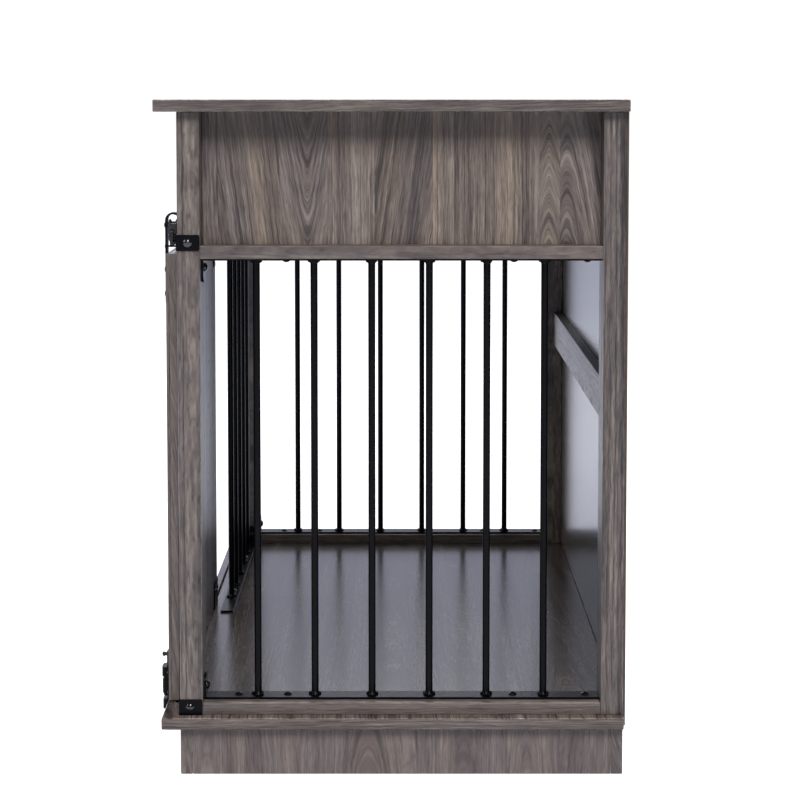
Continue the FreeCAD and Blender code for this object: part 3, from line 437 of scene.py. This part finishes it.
grille_m = black_metal("black_grille", (7, 7, 10), 0.30, 0.10, spec=0.08)
hard_m = black_metal("black_hardware", (6, 6, 9), 0.30, 0.18, orange=1500.0, spec=0.07)
screw_m = black_metal("black_screws", (14, 13, 16), 0.18, 0.05, worn=0.10, spec=0.7)
bolt_m = black_metal("black_bolts", (12, 12, 15), 0.28, 0.06, worn=0.08, spec=0.4)
track_m = black_metal("black_track", (18, 18, 21), 0.36, 0.16, worn=0.05, spec=0.35)
nylon_m = black_metal("black_nylon", (22, 22, 23), 0.45, 0.05, orange=2500.0)
zinc_m = black_metal("zinc_screws", (165, 163, 156), 0.34, 0.05, metallic=1.0)

GROUPS = {
    "end_grille_right": grille_m, "end_grille_left": grille_m, "front_grille": grille_m,
    "door_track": track_m, "track_spacers": hard_m, "track_stops": nylon_m,
    "track_bracket_right": hard_m, "track_bracket_left": hard_m, "corner_bracket_right": hard_m, "corner_bracket_left": hard_m,
    "hanger_strap_right": hard_m, "hanger_strap_left": hard_m, "hanger_wheel_right": nylon_m, "hanger_wheel_left": nylon_m,
    "track_bolts": bolt_m, "hanger_bolts": bolt_m, "hanger_cap_nuts": bolt_m, "wheel_axles": bolt_m, "anti_jump_pins": bolt_m,
    "slide_bolt_plate": hard_m, "slide_bolt_bar": bolt_m, "bolt_keeper": hard_m,
    "bracket_screws": screw_m, "small_pan_screws": screw_m, "grille_ear_screws": screw_m, "back_panel_screws": screw_m,
    "bolt_plate_screws": screw_m, "keeper_screws": screw_m, "guide_screws": screw_m,
    "post_screws": zinc_m, "door_guide_right": hard_m, "door_guide_left": hard_m,
}
for nm, m in GROUPS.items():
    assign(N[nm], m)
left = [n for n in N if n not in W and n not in GROUPS and n not in ("back_panel", "dowels")]
if left:
    print("no material for", left)

# ================================================================ weld beads at the tube feet
def weld_beads(name, centres, z_lo, z_hi, seed):
    """Small uneven lumps of weld around the foot and head of each tube."""
    rnd = random.Random(seed)
    bm = bmesh.new()
    for cx, cy in centres:
        for z, sgn in ((z_lo, 1), (z_hi, -1)):
            a0 = rnd.uniform(0, 6.28)
            for k in range(5):
                a = a0 + k * 6.283 / 5 + rnd.uniform(-0.25, 0.25)
                r = rnd.uniform(0.0019, 0.0026)
                d = 0.0058 + rnd.uniform(-0.0004, 0.0006)
                m = (Matrix.Translation((cx + d * math.cos(a), cy + d * math.sin(a), z + sgn * 0.0008))
                     @ Matrix.Rotation(a, 4, "Z") @ Matrix.Diagonal((1.0, rnd.uniform(0.9, 1.3), rnd.uniform(0.9, 1.25), 1.0)))
                bmesh.ops.create_uvsphere(bm, u_segments=10, v_segments=8, radius=r, matrix=m)
    me = bpy.data.meshes.new(name)
    bm.to_mesh(me)
    bm.free()
    for poly in me.polygons:
        poly.use_smooth = True
    o = bpy.data.objects.new(name, me)
    scene.collection.objects.link(o)
    me.materials.append(grille_m)
    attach(o, "root")
    return o


tube_y = [YF + 0.0962 + 0.0725 * k for k in range(6)]
weld_beads("weld_beads_right", [(0.459, y) for y in tube_y], 0.094, 0.649, 1)
weld_beads("weld_beads_left", [(-0.459, y) for y in tube_y], 0.094, 0.649, 2)
weld_beads("weld_beads_front", [(-0.0711 - 0.0721 * k, YF + 0.014) for k in range(5)], 0.079, 0.649, 3)

# ================================================================ stage
bpy.ops.mesh.primitive_plane_add(size=60, location=(0, 0, -0.0005))
floor = bpy.context.object
floor.name = "floor"
fm, ft, fb = new_mat("studio_floor")
fn = ft.noise(ft.node("ShaderNodeTexCoord").outputs["Object"], 3.0, 3.0)
pale = ft.ramp(fn, [(0.3, (0.86, 0.86, 0.86)), (0.7, (0.89, 0.89, 0.89))])
fb.inputs["Roughness"].default_value = 0.8
# evenly back-lit pale sweep: it glows towards the lens and the shiny boards, less towards the rest
flp = ft.node("ShaderNodeLightPath")
glow = ft.math("MAXIMUM", flp.outputs["Is Camera Ray"], flp.outputs["Is Glossy Ray"])
ft.put(fb.inputs["Base Color"], ft.mix(glow, (0.15, 0.15, 0.155, 1), pale))
ft.put(fb.inputs["Emission Color"], ft.mix(flp.outputs["Is Glossy Ray"], (0.97, 0.98, 1.0, 1), (0.75, 0.79, 1.0, 1)))
ft.put(fb.inputs["Emission Strength"], ft.fmix(glow, 0.07, 1.0))
floor.data.materials.append(fm)

world = bpy.data.worlds.new("studio")
scene.world = world
world.use_nodes = True
wt = Tree(world.node_tree)
world.node_tree.nodes.clear()
wo = wt.node("ShaderNodeOutputWorld")
bg = wt.node("ShaderNodeBackground")
lp = wt.node("ShaderNodeLightPath")
# bright backdrop behind the piece, dim room on the camera's side
dirx = wt.sep(wt.node("ShaderNodeTexCoord").outputs["Generated"])[0]
back = wt.remap(dirx, -0.35, 0.25, 1.0, 0.0)
gloss = wt.fmix(back, 0.08, 1.0)
amb = wt.fmix(back, 0.06, 0.09)
stren = wt.fmix(lp.outputs["Is Glossy Ray"], amb, gloss)
stren = wt.fmix(lp.outputs["Is Camera Ray"], stren, 1.05)
wt.put(bg.inputs[1], stren)
cool = wt.mix(lp.outputs["Is Glossy Ray"], (1, 1, 1, 1), (0.75, 0.79, 1.0, 1))
wt.put(bg.inputs[0], wt.mix(lp.outputs["Is Camera Ray"], cool, (1, 1, 1, 1)))
world.node_tree.links.new(bg.outputs[0], wo.inputs[0])


def area(name, loc, target, size, power, color=(1, 1, 1)):
    l = bpy.data.lights.new(name, "AREA")
    l.shape = "RECTANGLE"
    l.size, l.size_y = size
    l.energy = power
    l.color = color
    o = bpy.data.objects.new(name, l)
    scene.collection.objects.link(o)
    o.location = loc
    o.rotation_euler = (Vector(target) - Vector(loc)).to_track_quat("-Z", "Y").to_euler()
    return o


area("key", (5.6, 0.5, 5.9), (0.5, 0.0, 0.5), (2.6, 2.8), 470)
area("fill_front", (4.4, -0.9, 0.5), (0.4, 0, 0.35), (1.8, 0.8), 3)
area("fill_right", (4.0, 1.6, 0.6), (0.4, 0, 0.35), (1.6, 0.8), 3)
area("front_side", (0.3, -3.4, 2.2), (0.0, -0.2, 0.45), (2.2, 1.4), 62)
area("back_side", (-0.6, 3.4, 2.2), (0.0, 0.3, 0.45), (2.2, 1.4), 45)
area("far_side", (-3.4, -0.4, 2.2), (-0.4, 0.0, 0.45), (1.8, 1.2), 22)

# ================================================================ camera
cam_d = bpy.data.cameras.new("camera")
cam = bpy.data.objects.new("camera", cam_d)
scene.collection.objects.link(cam)
cam_d.sensor_width = 36.0
cam_d.lens = 84.74
cam_d.shift_x = -0.0032
cam_d.shift_y = -0.228
cam_d.clip_start = 0.05
cam_d.clip_end = 100
cam.location = (XE + 2.330, YF + 0.280, 0.8471)
pitch = math.radians(3.516)
look = Vector((-math.cos(pitch), 0, -math.sin(pitch)))
cam.rotation_euler = look.to_track_quat("-Z", "Y").to_euler()
scene.camera = cam
scene.view_settings.view_transform = "Standard"
scene.view_settings.look = "None"

# ================================================================ final update
bpy.context.view_layer.update()
